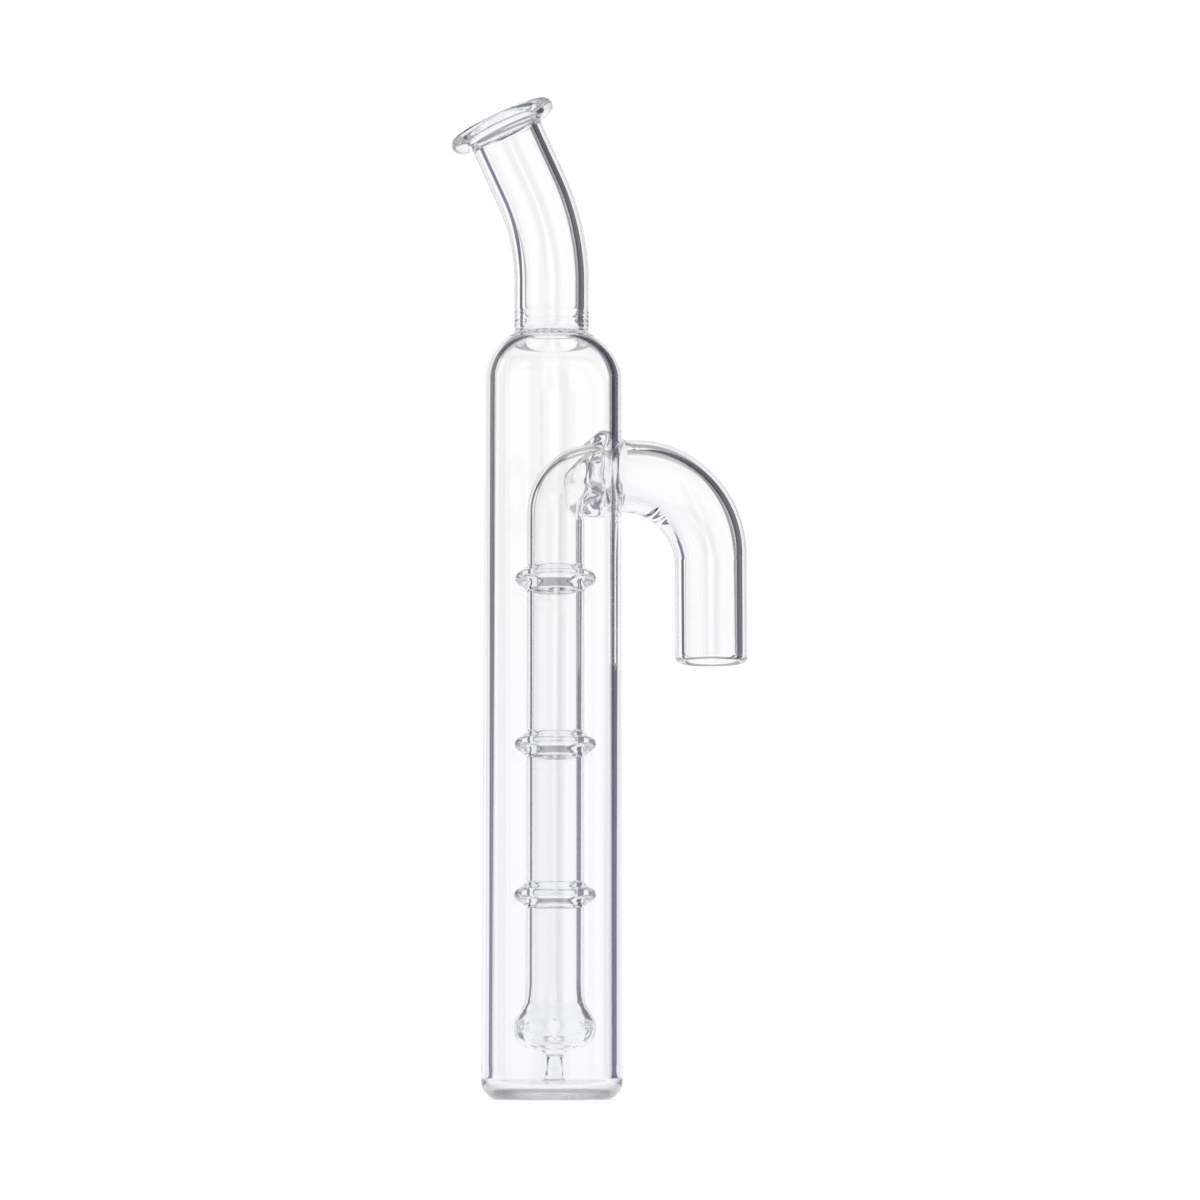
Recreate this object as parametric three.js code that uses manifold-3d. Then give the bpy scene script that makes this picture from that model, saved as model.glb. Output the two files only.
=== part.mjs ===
// A small hand-made glass bubbler tube: a straight water chamber with a bent neck and a rolled lip
// above it, a bent side arm, and a downstem inside that leads from the arm to a pierced bulb.
// Millimetres, +Z up. The origin is the centre of the flat underside, on the chamber's axis,
// and the side arm points along +X. The neck leans towards -X.

import * as THREE from "three";
import { mergeVertices } from "three/addons/utils/BufferGeometryUtils.js";
import Module from "manifold-3d";

const wasm = await Module();
wasm.setup();

// ---------------------------------------------------------------- driving dimensions

const GAP = 0.3; // between sections that are fused on the real object
const ROUND = 36; // facets around the chamber
const SLIM = 24; // facets around the neck, the arm and the downstem

const CHAMBER_R = 13; // 26 mm tube
const CHAMBER_BORE = 11;
const BASE_CORNER = 3.2; // outer radius at the foot
const FLOOR_Z = 2.3;
const FLOOR_CORNER = 1;
const BASE_TOP_Z = 6;
const SHOULDER_Z = 134.5; // where the shoulder starts to draw in
const SHOULDER_SWEEP = 9.5; // radius of its outer arc
const SHOULDER_BORE_SWEEP = 8;
const SHOULDER_FILLET = 2;
const SHOULDER_BORE_FILLET = 1.6;

const NECK_R = 7.1;
const NECK_BORE = 5.1;
const NECK_SHIFT = -0.45; // the neck stands a little off the chamber's axis
const NECK_WELD_LENGTH = 3;
const NECK_BEND_Z = 153.5;
const NECK_BEND_R = 40;
const NECK_TURN = THREE.MathUtils.degToRad(-27);
const NECK_LENGTH = 34.6; // from the weld to the lip, along the middle
const LIP_R = 10.5;
const LIP_BEAD = 1.6; // radius of the rolled edge
const LIP_HEIGHT = 3.9;
const MOUTH_R = 7.7;
const LIP_FLARE = 0.3;
const WELD_RIPPLE = 0.35;

const PORT_Z = 117.2; // height of the side arm's root
const PORT_HOLE = 6.2; // radius of the hole in the chamber wall
const COLLAR_R = 8.6;
const COLLAR_END_X = 15;
const COLLAR_SLOPE = 0.4; // how much wider than the arm the weld still is where it leaves the chamber
const ARM_R = 6.9;
const ARM_BORE = 5;
const ARM_SWELL = 0.55; // the tube is wider round its bend
const ARM_BEND_X = 17.4;
const ARM_BEND_R = 15.35;
const ARM_END_Z = 82.2;
const ARM_EDGE = 0.9; // rounding of the open end

const STEM_R = 5.45;
const STEM_BORE = 4.2;
const STEM_SHIFT = 0.5; // the downstem stands a little off the chamber's axis, towards the arm
const ELBOW_BEND_R = 8.5;
const SEAL_START_X = STEM_SHIFT + ELBOW_BEND_R + GAP;
const SEAL_R = 8.4;
const SEAL_WALL = 1.6; // how far the inner weld stands off the chamber's inner face
const RING_R = 7.6;
const RING_HALF = 2.25;
const RING_EDGE = 1.3; // rounding of a ring's outer edge
const RING_SLOPE = 0.7;
const RING_NAMES = ["stem_ring_lower", "stem_ring_middle", "stem_ring_upper"];
const RING_Z = [37.3, 65.2, 96.4];

const BULB_R = 7.75;
const BULB_HALF = 3.9;
const BULB_Z = 12.9; // height of its widest place
const BULB_WALL = 1.2;
const BULB_SQUARENESS = 2.5; // exponent of its outline, 2 would be an ellipse
const BULB_TOP_Z = 16.6;
const BULB_MOUTH_R = 6;
const BULB_SWEEP = 0.78 * Math.PI; // how far round its outline runs before the mouth
const STEM_FLARE = 4; // length of the downstem's flare down to the bulb
const STEM_FLARE_R = 0.15;
const HOLES = 6;
const HOLE_WIDTH = 2.2;
const HOLE_HEIGHT = 3.2;
const HOLE_Z = 13.2;

const BUTTON_R = 4;
const BUTTON_EDGE = 0.3;
const BUTTON_SHOULDER = 0.5;
const STUB_FOOT = 2.15;
const STUB_R = 1.75;
const STUB_WAIST = 1.5;
const STUB_FLARE = 2.6;

const GLASS = { color: 0xe9efee, roughness: 0.03, metalness: 0 };

// ---------------------------------------------------------------- outlines

const at = (r, z) => new THREE.Vector2(r, z);

// Points of a round stretch about a centre, both ends included. Angles in degrees from +r towards +z.
function arc(r, z, radius, from, to, steps) {
  return Array.from({ length: steps + 1 }, (_, i) => {
    const angle = THREE.MathUtils.degToRad(from + ((to - from) * i) / steps);
    return at(r + radius * Math.cos(angle), z + radius * Math.sin(angle));
  });
}

// A body turned about Z from a closed outline, or from one that starts and ends on the axis.
function turned(outline, segments) {
  const onAxis = outline[0].x === 0 && outline.at(-1).x === 0;
  const points = onAxis ? outline : [...outline, outline[0].clone()];
  return new THREE.LatheGeometry(points, segments).rotateX(Math.PI / 2);
}

// The outline of a tube wall between two heights, with steps along it where it will be bent.
function wall(outer, bore, low, high, steps = 1) {
  const heights = Array.from({ length: steps + 1 }, (_, i) => low + ((high - low) * i) / steps);
  return [...heights.map((z) => at(outer, z)), ...heights.reverse().map((z) => at(bore, z))];
}

// ---------------------------------------------------------------- bends

// A route in the XZ plane: straight for a lead, one round bend, then straight again. Headings are
// measured from +Z towards +X. It gives the middle and the heading at a distance along it.
function route(start, heading, lead, radius, turn) {
  const side = Math.sign(turn);
  const bendLength = radius * Math.abs(turn);
  const step = (from, way, length) => at(from.x + length * Math.sin(way), from.y + length * Math.cos(way));
  const bendStart = step(start, heading, lead);
  const centre = at(
    bendStart.x + side * radius * Math.cos(heading),
    bendStart.y - side * radius * Math.sin(heading),
  );
  const onBend = (way) =>
    at(centre.x - side * radius * Math.cos(way), centre.y + side * radius * Math.sin(way));
  return (distance) => {
    if (distance <= lead) return { middle: step(start, heading, distance), way: heading };
    if (distance >= lead + bendLength) {
      const way = heading + turn;
      return { middle: step(onBend(way), way, distance - lead - bendLength), way };
    }
    const way = heading + (side * (distance - lead)) / radius;
    return { middle: onBend(way), way };
  };
}

// Lays a body that was turned about Z along a route: its height becomes the distance along it.
function bent(geometry, along) {
  const place = geometry.attributes.position;
  for (let i = 0; i < place.count; i++) {
    const { middle, way } = along(place.getZ(i));
    const across = place.getX(i);
    place.setX(i, middle.x + across * Math.cos(way));
    place.setZ(i, middle.y - across * Math.sin(way));
  }
  return geometry;
}

// ---------------------------------------------------------------- cuts

function solid(geometry) {
  const plain = geometry.clone();
  plain.deleteAttribute("normal");
  plain.deleteAttribute("uv");
  const merged = mergeVertices(plain, 1e-3);
  return new wasm.Manifold(
    new wasm.Mesh({
      numProp: 3,
      vertProperties: merged.attributes.position.array,
      triVerts: new Uint32Array(merged.index.array),
    }),
  );
}

function geometryOf(body) {
  const mesh = body.getMesh();
  const made = new THREE.BufferGeometry();
  made.setAttribute("position", new THREE.BufferAttribute(mesh.vertProperties, 3));
  made.setIndex(new THREE.BufferAttribute(mesh.triVerts, 1));
  made.computeVertexNormals();
  return made;
}

// A cylinder along the side port's axis, and an upright one around the chamber's axis.
function portCylinder(radius, fromX, toX) {
  const length = toX - fromX;
  return new THREE.CylinderGeometry(radius, radius, length, SLIM)
    .rotateZ(Math.PI / 2)
    .translate(fromX + length / 2, 0, PORT_Z);
}

function uprightCylinder(radius) {
  const height = 4 * COLLAR_R;
  return new THREE.CylinderGeometry(radius, radius, height, ROUND)
    .rotateX(Math.PI / 2)
    .translate(0, 0, PORT_Z);
}

// A body turned about the side port's axis, from an outline of radius against x.
const turnedOnPort = (outline) =>
  turned(outline, SLIM)
    .rotateY(Math.PI / 2)
    .translate(0, 0, PORT_Z);

// ---------------------------------------------------------------- chamber

function chamberBase() {
  const hole = BUTTON_R + GAP;
  return turned(
    [
      at(hole, 0),
      ...arc(CHAMBER_R - BASE_CORNER, BASE_CORNER, BASE_CORNER, -90, 0, 5),
      at(CHAMBER_R, BASE_TOP_Z),
      at(CHAMBER_BORE, BASE_TOP_Z),
      ...arc(CHAMBER_BORE - FLOOR_CORNER, FLOOR_Z + FLOOR_CORNER, FLOOR_CORNER, 0, -90, 3),
      at(hole, FLOOR_Z),
    ],
    ROUND,
  );
}

function baseButton() {
  return turned(
    [
      at(0, 0),
      at(BUTTON_R - BUTTON_EDGE, 0),
      at(BUTTON_R, BUTTON_EDGE),
      at(BUTTON_R, FLOOR_Z - BUTTON_SHOULDER),
      at(STUB_FLARE, FLOOR_Z),
      at(0, FLOOR_Z),
    ],
    SLIM,
  );
}

function supportStub() {
  const low = FLOOR_Z + GAP;
  const high = BULB_Z - BULB_HALF - GAP;
  const length = high - low;
  return turned(
    [
      at(0, low),
      at(STUB_FOOT, low),
      at(STUB_R, low + 0.2 * length),
      at(STUB_WAIST, low + 0.75 * length),
      at(STUB_FLARE, high),
      at(0, high),
    ],
    SLIM,
  );
}

function chamberTube() {
  const low = BASE_TOP_Z + GAP;
  const high = SHOULDER_Z - GAP;
  const tube = solid(turned(wall(CHAMBER_R, CHAMBER_BORE, low, high), ROUND));
  return geometryOf(tube.subtract(solid(portCylinder(PORT_HOLE, STEM_SHIFT, 2 * CHAMBER_R))));
}

// The shoulder's outline on one side of the wall: an arc in from the chamber, then a fillet that
// turns up into the neck. Both are tangent where they meet.
function shoulderSide(chamberRadius, neckRadius, sweep, fillet, steps) {
  const sweepR = chamberRadius - sweep;
  const filletR = neckRadius + fillet;
  const tilt = THREE.MathUtils.radToDeg(Math.acos((filletR - sweepR) / (sweep + fillet)));
  const filletZ = SHOULDER_Z + (sweep + fillet) * Math.sin(THREE.MathUtils.degToRad(tilt));
  return [
    ...arc(sweepR, SHOULDER_Z, sweep, 0, tilt, steps),
    ...arc(filletR, filletZ, fillet, 180 + tilt, 180, 3).slice(1),
  ];
}

function shoulderOutline() {
  const outer = shoulderSide(CHAMBER_R, NECK_R, SHOULDER_SWEEP, SHOULDER_FILLET, 5);
  const bore = shoulderSide(CHAMBER_BORE, NECK_BORE, SHOULDER_BORE_SWEEP, SHOULDER_BORE_FILLET, 5);
  const top = outer.at(-1).y;
  return { top, outline: [...outer, at(NECK_BORE, top), ...bore.reverse()] };
}

const SHOULDER = shoulderOutline();
const NECK_WELD_Z = SHOULDER.top + GAP;
const NECK_START_Z = NECK_WELD_Z + NECK_WELD_LENGTH + GAP;

function chamberShoulder() {
  const made = turned(SHOULDER.outline, ROUND);
  const place = made.attributes.position;
  for (let i = 0; i < place.count; i++) {
    const share = (place.getZ(i) - SHOULDER_Z) / (SHOULDER.top - SHOULDER_Z);
    place.setX(i, place.getX(i) + NECK_SHIFT * THREE.MathUtils.smoothstep(share, 0, 1));
  }
  return made;
}

// ---------------------------------------------------------------- neck

const neckRoute = route(
  at(NECK_SHIFT, NECK_START_Z),
  0,
  NECK_BEND_Z - NECK_START_Z,
  NECK_BEND_R,
  NECK_TURN,
);

function neckWeldRing() {
  const third = NECK_WELD_LENGTH / 3;
  return turned(
    [
      at(NECK_R, 0),
      at(NECK_R + WELD_RIPPLE, third / 2),
      at(NECK_R, third),
      at(NECK_R + WELD_RIPPLE, 2 * third),
      at(NECK_R, 3 * third),
      at(NECK_BORE, 3 * third),
      at(NECK_BORE - WELD_RIPPLE, 1.5 * third),
      at(NECK_BORE, 0),
    ],
    SLIM,
  );
}

function neckTube() {
  return bent(turned(wall(NECK_R, NECK_BORE, 0, NECK_LENGTH, 8), SLIM), neckRoute);
}

function neckLip() {
  const start = NECK_LENGTH + GAP;
  const beadZ = start + LIP_HEIGHT - LIP_BEAD;
  const beadR = LIP_R - LIP_BEAD;
  return bent(
    turned(
      [
        at(NECK_R, start),
        at(NECK_R + LIP_FLARE, beadZ - LIP_BEAD),
        ...arc(beadR, beadZ, LIP_BEAD, -90, 90, 6),
        at(MOUTH_R, beadZ + 0.8 * LIP_BEAD),
        at((MOUTH_R + NECK_BORE + LIP_BEAD) / 2, beadZ),
        at(NECK_BORE, start),
      ],
      SLIM,
    ),
    neckRoute,
  );
}

// ---------------------------------------------------------------- side arm and inner seal

const ARM_START_X = COLLAR_END_X + GAP;
const ARM_LEAD = ARM_BEND_X - ARM_START_X;
const ARM_LENGTH = ARM_LEAD + (ARM_BEND_R * Math.PI) / 2 + (PORT_Z - ARM_BEND_R - ARM_END_Z);
const armRoute = route(at(ARM_START_X, PORT_Z), Math.PI / 2, ARM_LEAD, ARM_BEND_R, Math.PI / 2);

// The outer weld: it flares down onto the chamber wall and follows it all round.
function armWeldCollar() {
  const body = turnedOnPort([
    at(ARM_R, COLLAR_END_X),
    at(ARM_BORE, COLLAR_END_X),
    at(ARM_BORE, 0.6 * CHAMBER_R),
    at(COLLAR_R, 0.6 * CHAMBER_R),
    at(COLLAR_R, 0.85 * CHAMBER_R),
    at(ARM_R + COLLAR_SLOPE, CHAMBER_R + COLLAR_SLOPE),
  ]);
  return geometryOf(solid(body).subtract(solid(uprightCylinder(CHAMBER_R + GAP))));
}

// The inner weld: a flange that hugs the chamber's inner face all round the port, and fills the port.
function ringSeal() {
  const onWall = solid(portCylinder(SEAL_R, 0, CHAMBER_R))
    .intersect(solid(uprightCylinder(CHAMBER_BORE - GAP)))
    .subtract(solid(uprightCylinder(CHAMBER_BORE - GAP - SEAL_WALL)))
    .subtract(solid(portCylinder(STEM_R + GAP, 0, SEAL_START_X)));
  const inPort = solid(portCylinder(PORT_HOLE - GAP, SEAL_START_X, CHAMBER_R + 1))
    .intersect(solid(uprightCylinder(CHAMBER_R)));
  const bore = solid(portCylinder(STEM_BORE, SEAL_START_X - 1, CHAMBER_R + 2));
  return geometryOf(onWall.add(inPort).subtract(bore));
}

function sideArm() {
  const steps = 11;
  const bendEnd = ARM_LEAD + (ARM_BEND_R * Math.PI) / 2;
  const plain = wall(ARM_R, ARM_BORE, 0, ARM_LENGTH - ARM_EDGE, steps);
  const swollen = plain.map(({ x, y }) => {
    const share = THREE.MathUtils.clamp(y / bendEnd, 0, 1);
    return at(x + ARM_SWELL * Math.sin(Math.PI * share), y);
  });
  const rounded = arc((ARM_R + ARM_BORE) / 2, ARM_LENGTH - ARM_EDGE, ARM_EDGE, 0, 180, 4);
  const outline = [...swollen.slice(0, steps + 1), ...rounded, ...swollen.slice(steps + 1)];
  return bent(turned(outline, SLIM), armRoute);
}

// ---------------------------------------------------------------- downstem

function downstemElbow() {
  const low = RING_Z[2] + RING_HALF + GAP;
  const lead = PORT_Z - ELBOW_BEND_R - low;
  const length = lead + (ELBOW_BEND_R * Math.PI) / 2;
  const along = route(at(STEM_SHIFT, low), 0, lead, ELBOW_BEND_R, Math.PI / 2);
  return bent(turned(wall(STEM_R, STEM_BORE, 0, length, 8), SLIM), along);
}

// A fused ring: a lens-shaped swelling of the tube wall with a rounded edge.
function stemRing() {
  return turned(
    [
      at(STEM_R, -RING_HALF),
      at(STEM_R + RING_SLOPE, -0.72 * RING_HALF),
      ...arc(RING_R - RING_EDGE, 0, RING_EDGE, -65, 65, 4),
      at(STEM_R + RING_SLOPE, 0.72 * RING_HALF),
      at(STEM_R, RING_HALF),
      at(STEM_BORE, RING_HALF),
      at(STEM_BORE, -RING_HALF),
    ],
    SLIM,
  );
}

const stemSection = (low, high) => turned(wall(STEM_R, STEM_BORE, low, high), SLIM);

// The lowest section opens out a little to meet the bulb.
function stemSectionLower() {
  const low = BULB_TOP_Z + GAP;
  const high = RING_Z[0] - RING_HALF - GAP;
  return turned(
    [
      at(BULB_MOUTH_R, low),
      at(STEM_R + STEM_FLARE_R, low + 0.4 * STEM_FLARE),
      at(STEM_R, low + STEM_FLARE),
      at(STEM_R, high),
      at(STEM_BORE, high),
      at(STEM_BORE, low + STEM_FLARE),
      at(STEM_BORE + STEM_FLARE_R, low + 0.4 * STEM_FLARE),
      at(BULB_MOUTH_R - BULB_WALL, low),
    ],
    SLIM,
  );
}

// The squashed bulb's outline, from the axis below up to its mouth.
function bulbSide(inset, steps) {
  const radius = BULB_R - inset;
  const half = BULB_HALF - inset;
  const mouth = BULB_MOUTH_R - inset;
  const power = 2 / BULB_SQUARENESS;
  const side = [at(0, BULB_Z - half)];
  for (let i = 1; i <= steps; i++) {
    const angle = (i / steps) * BULB_SWEEP - Math.PI / 2;
    const rise = Math.sin(angle);
    const height = BULB_Z + half * Math.sign(rise) * Math.abs(rise) ** power;
    side.push(at(radius * Math.cos(angle) ** power, height));
  }
  return [...side, at(mouth, BULB_TOP_Z)];
}

// One of the bulb's holes: a drop shape with its point down, cut through the wall.
function teardrop() {
  const round = HOLE_WIDTH / 2;
  const shape = new THREE.Shape();
  shape.absarc(0, 0, round, -0.15 * Math.PI, 1.15 * Math.PI);
  shape.lineTo(0, round - HOLE_HEIGHT);
  shape.closePath();
  return new THREE.ExtrudeGeometry(shape, { depth: BULB_R, bevelEnabled: false, curveSegments: 6 })
    .rotateX(Math.PI / 2)
    .rotateZ(Math.PI / 2)
    .translate(BULB_R / 2, 0, HOLE_Z);
}

function diffuserBulb() {
  let body = solid(turned([...bulbSide(0, 8), ...bulbSide(BULB_WALL, 7).reverse()], SLIM));
  for (let i = 0; i < HOLES; i++) {
    body = body.subtract(solid(teardrop().rotateZ((2 * Math.PI * i) / HOLES)));
  }
  return geometryOf(body);
}

// ---------------------------------------------------------------- assembly

const bubbler = new THREE.Group();
const downstem = new THREE.Group();
downstem.position.x = STEM_SHIFT;
bubbler.add(downstem);

function section(parent, name, geometry, height = 0, shift = 0) {
  const mesh = new THREE.Mesh(geometry, new THREE.MeshStandardMaterial(GLASS));
  mesh.name = name;
  mesh.position.set(shift, 0, height);
  parent.add(mesh);
}

section(bubbler, "chamber_base", chamberBase());
section(bubbler, "base_button", baseButton());
section(bubbler, "chamber_tube", chamberTube());
section(bubbler, "chamber_shoulder", chamberShoulder());
section(bubbler, "neck_weld_ring", neckWeldRing(), NECK_WELD_Z, NECK_SHIFT);
section(bubbler, "neck_tube", neckTube());
section(bubbler, "neck_lip", neckLip());
section(bubbler, "arm_weld_collar", armWeldCollar());
section(bubbler, "side_arm", sideArm());
section(bubbler, "ring_seal", ringSeal());
section(bubbler, "downstem_elbow", downstemElbow());
RING_NAMES.forEach((name, i) => section(downstem, name, stemRing(), RING_Z[i]));
["stem_section_middle", "stem_section_upper"].forEach((name, i) => {
  const low = RING_Z[i] + RING_HALF + GAP;
  section(downstem, name, stemSection(low, RING_Z[i + 1] - RING_HALF - GAP));
});
section(downstem, "stem_section_lower", stemSectionLower());
section(downstem, "diffuser_bulb", diffuserBulb());
section(downstem, "support_stub", supportStub());

export default bubbler;
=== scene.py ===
"""Looks of the glass bubbler tube: fused-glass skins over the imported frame, on a pale floor in soft light."""

import math

import bmesh
import bpy
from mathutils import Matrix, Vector

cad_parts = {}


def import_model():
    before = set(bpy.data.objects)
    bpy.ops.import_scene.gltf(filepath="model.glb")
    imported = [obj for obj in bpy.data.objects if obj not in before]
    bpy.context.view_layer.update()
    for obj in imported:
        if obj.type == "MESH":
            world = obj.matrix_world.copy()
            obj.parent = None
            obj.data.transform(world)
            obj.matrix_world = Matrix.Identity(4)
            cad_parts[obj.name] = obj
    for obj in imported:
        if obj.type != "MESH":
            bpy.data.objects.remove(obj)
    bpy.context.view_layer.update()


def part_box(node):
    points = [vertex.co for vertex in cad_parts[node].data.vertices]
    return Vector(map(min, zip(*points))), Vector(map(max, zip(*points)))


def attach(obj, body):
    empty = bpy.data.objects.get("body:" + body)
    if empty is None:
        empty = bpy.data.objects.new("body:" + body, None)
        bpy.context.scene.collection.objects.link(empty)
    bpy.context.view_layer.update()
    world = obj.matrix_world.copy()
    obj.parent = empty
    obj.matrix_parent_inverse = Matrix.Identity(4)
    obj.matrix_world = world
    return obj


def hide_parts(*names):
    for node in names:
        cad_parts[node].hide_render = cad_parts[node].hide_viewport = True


MM = 0.001
VIEW_TURN = 23.0  # degrees the camera stands round from straight in front, towards the neck's side
GLASS_IOR = 1.47

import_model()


def span(node):
    """A node's box in millimetres."""
    lo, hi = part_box(node)
    return lo / MM, hi / MM


# ---------------------------------------------------------------- sizes in millimetres
# Outsides and heights are read from the frame. Bores, and the arm's radius, are those of the CAD.

TUBE_LO, TUBE_HI = span("chamber_tube")
BASE_HI = span("chamber_base")[1]
SHOULDER_LO, SHOULDER_HI = span("chamber_shoulder")
NECK_LO, NECK_HI = span("neck_tube")
WELD_LO, WELD_HI = span("neck_weld_ring")
ARM_LO = span("side_arm")[0]
COLLAR_LO, COLLAR_HI = span("arm_weld_collar")
SEAL_LO, SEAL_HI = span("ring_seal")
ELBOW_LO, ELBOW_HI = span("downstem_elbow")
BULB_LO, BULB_HI = span("diffuser_bulb")
STUB_LO, STUB_HI = span("support_stub")
BUTTON_HI = span("base_button")[1]

CHAMBER_R = TUBE_HI.y
NECK_X = (WELD_LO.x + WELD_HI.x) / 2  # the neck stands a little off the chamber's axis
CHAMBER_BORE = 11.1
NECK_R = NECK_HI.y
NECK_BORE = 5.15
ARM_R = 6.9
ARM_BORE = 5.0
ARM_SWELL = 0.55  # the arm is wider round its bend
STEM_R = ELBOW_HI.y
STEM_BORE = 4.2
PORT_Z = (COLLAR_LO.z + COLLAR_HI.z) / 2
STEM_X = ELBOW_LO.x + STEM_R
GAP = 0.15  # half of the clearance between two CAD sections: skins meet in the middle of it


# ---------------------------------------------------------------- outlines and routes


def arc(cx, cz, radius, start, stop, steps):
    """Points (radius, height) of a round stretch, angles in degrees from +r towards +z."""
    out = []
    for i in range(steps + 1):
        a = math.radians(start + (stop - start) * i / steps)
        out.append((cx + radius * math.cos(a), cz + radius * math.sin(a)))
    return out


def smooth(t):
    t = min(1.0, max(0.0, t))
    return t * t * (3 - 2 * t)


def bulge(t, middle, width):
    """A smooth rise to 1 at the middle and back to 0."""
    return math.exp(-(((t - middle) / width) ** 2))


def curve(points, per_span=8):
    """A smooth outline through points, as a centripetal Catmull-Rom curve."""
    pts = [Vector(p) for p in points]
    pts = [pts[0] * 2 - pts[1]] + pts + [pts[-1] * 2 - pts[-2]]
    out = []
    for i in range(1, len(pts) - 2):
        p0, p1, p2, p3 = pts[i - 1 : i + 3]
        t0 = 0.0
        t1 = t0 + math.sqrt(max((p1 - p0).length, 1e-6))
        t2 = t1 + math.sqrt(max((p2 - p1).length, 1e-6))
        t3 = t2 + math.sqrt(max((p3 - p2).length, 1e-6))
        for k in range(per_span):
            t = t1 + (t2 - t1) * k / per_span
            a1 = p0 * ((t1 - t) / (t1 - t0)) + p1 * ((t - t0) / (t1 - t0))
            a2 = p1 * ((t2 - t) / (t2 - t1)) + p2 * ((t - t1) / (t2 - t1))
            a3 = p2 * ((t3 - t) / (t3 - t2)) + p3 * ((t - t2) / (t3 - t2))
            b1 = a1 * ((t2 - t) / (t2 - t0)) + a2 * ((t - t0) / (t2 - t0))
            b2 = a2 * ((t3 - t) / (t3 - t1)) + a3 * ((t - t1) / (t3 - t1))
            out.append(tuple(b1 * ((t2 - t) / (t2 - t1)) + b2 * ((t - t1) / (t2 - t1))))
    out.append(tuple(points[-1]))
    return out


def route(x, z, heading, lead, radius, turn):
    """A way in the XZ plane: straight, one round bend, straight. Heading from +Z towards +X, in radians."""
    side = 1 if turn > 0 else -1
    length = radius * abs(turn)
    sx, sz = x + lead * math.sin(heading), z + lead * math.cos(heading)
    cx, cz = sx + side * radius * math.cos(heading), sz - side * radius * math.sin(heading)

    def place(distance):
        if distance <= lead:
            return x + distance * math.sin(heading), z + distance * math.cos(heading), heading
        bent = distance - lead
        way = heading + side * min(bent, length) / radius
        px, pz = cx - side * radius * math.cos(way), cz + side * radius * math.sin(way)
        over = max(0.0, bent - length)
        return px + over * math.sin(way), pz + over * math.cos(way), way

    return place


def upright(x):
    return lambda distance: (x, distance, 0.0)


# ---------------------------------------------------------------- skins


def add_mesh(name, verts, faces, normals, slots, slot_materials):
    mesh = bpy.data.meshes.new(name)
    mesh.from_pydata([v * MM for v in verts], [], faces)
    for material in slot_materials:
        mesh.materials.append(material)
    mesh.polygons.foreach_set("material_index", slots)
    mesh.polygons.foreach_set("use_smooth", [True] * len(faces))
    if normals:
        mesh.normals_split_custom_set_from_vertices(normals)
    obj = bpy.data.objects.new(name, mesh)
    bpy.context.scene.collection.objects.link(obj)
    return obj


def close_poles(obj):
    """Welds the tiny rings on the axis to points, and splits the shading at hard edges."""
    work = bmesh.new()
    work.from_mesh(obj.data)
    bmesh.ops.remove_doubles(work, verts=work.verts, dist=0.02 * MM)
    work.to_mesh(obj.data)
    work.free()
    obj.data.set_sharp_from_angle(angle=math.radians(38))


def solid_of_revolution(name, place, outline, caps, n, materials):
    """A body turned from an outline (radius, distance) that starts and ends on the axis."""
    rings = [ring_at(place, d, r, n) for r, d in outline]
    verts = [p for ring in rings for p in ring]
    faces, slots = [], []
    for i in range(len(rings) - 1):
        for j in range(n):
            l = (j + 1) % n
            faces.append((i * n + j, i * n + l, (i + 1) * n + l, (i + 1) * n + j))
            slots.append(1 if i in caps else 0)
    obj = add_mesh(name, verts, faces, None, slots, materials)
    close_poles(obj)
    return obj


def wrapped(name, rings, caps, materials):
    """A skin over a closed loop of rings of equal size. caps holds the spans (by first ring) where a
    section meets its neighbour: light goes straight through there."""
    m, n = len(rings), len(rings[0])
    verts = [p for ring in rings for p in ring]
    normals = []
    for i in range(m):
        before = i if (i - 1) % m in caps else (i - 1) % m
        after = i if i in caps else (i + 1) % m
        for j in range(n):
            along = rings[after][j] - rings[before][j]
            across = rings[i][(j + 1) % n] - rings[i][j - 1]
            normals.append(across.cross(along).normalized())
    faces, slots = [], []
    for i in range(m):
        k = (i + 1) % m
        for j in range(n):
            l = (j + 1) % n
            faces.append((i * n + j, i * n + l, k * n + l, k * n + j))
            slots.append(1 if i in caps else 0)
    return add_mesh(name, verts, faces, normals, slots, materials)


def ring_at(place, distance, radius, n, wobble=None):
    x, z, way = place(distance)
    out = []
    for j in range(n):
        a = 2 * math.pi * j / n
        r = radius + (wobble(a, distance) if wobble else 0.0)
        c, s = r * math.cos(a), r * math.sin(a)
        out.append(Vector((x + c * math.cos(way), s, z - c * math.sin(way))))
    return out


def sleeve(name, place, outer, inner, n, materials, high_cap=True, wobble=None, bore_wobble=None):
    """A tube wall along a route. outer and inner are outlines (radius, distance) from start to end."""
    rings = [ring_at(place, d, r, n, wobble) for r, d in outer]
    rings += [ring_at(place, d, r, n, bore_wobble) for r, d in reversed(inner)]
    caps = {len(outer) + len(inner) - 1}
    if high_cap:
        caps.add(len(outer) - 1)
    return wrapped(name, rings, caps, materials)


def wall(radius, low, high, step=1.0):
    count = max(1, round((high - low) / step))
    return [(radius, low + (high - low) * i / count) for i in range(count + 1)]


# ---------------------------------------------------------------- materials


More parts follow.
